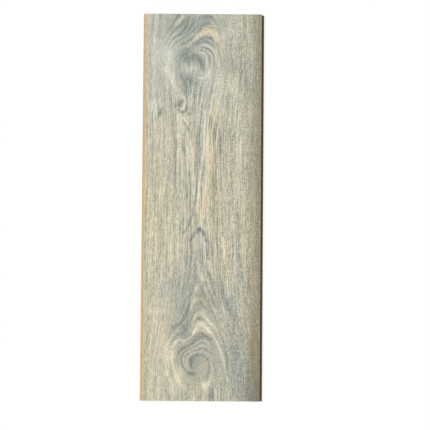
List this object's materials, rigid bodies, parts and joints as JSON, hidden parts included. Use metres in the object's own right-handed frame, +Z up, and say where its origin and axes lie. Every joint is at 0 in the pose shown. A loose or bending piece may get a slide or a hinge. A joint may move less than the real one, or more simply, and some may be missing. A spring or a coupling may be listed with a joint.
{
  "type": "laminate floor plank",
  "caption": "Flat laminate floor plank, a cut length with a grey wood-grain face, a milled click tongue along one long edge and a locking groove along the other, both ends sawn square.",
  "frame": {"origin": "on the underside, below the middle of the decor face, half way along the plank", "axes": "+X across the plank from the tongue edge to the groove edge, +Y along the plank, +Z up out of the decor face"},
  "size_m": [0.201, 0.642, 0.012],
  "materials": {
    "laminate": "satin"
  },
  "bodies": {
    "root": {"plank": "laminate"}
  },
  "joints": []
}
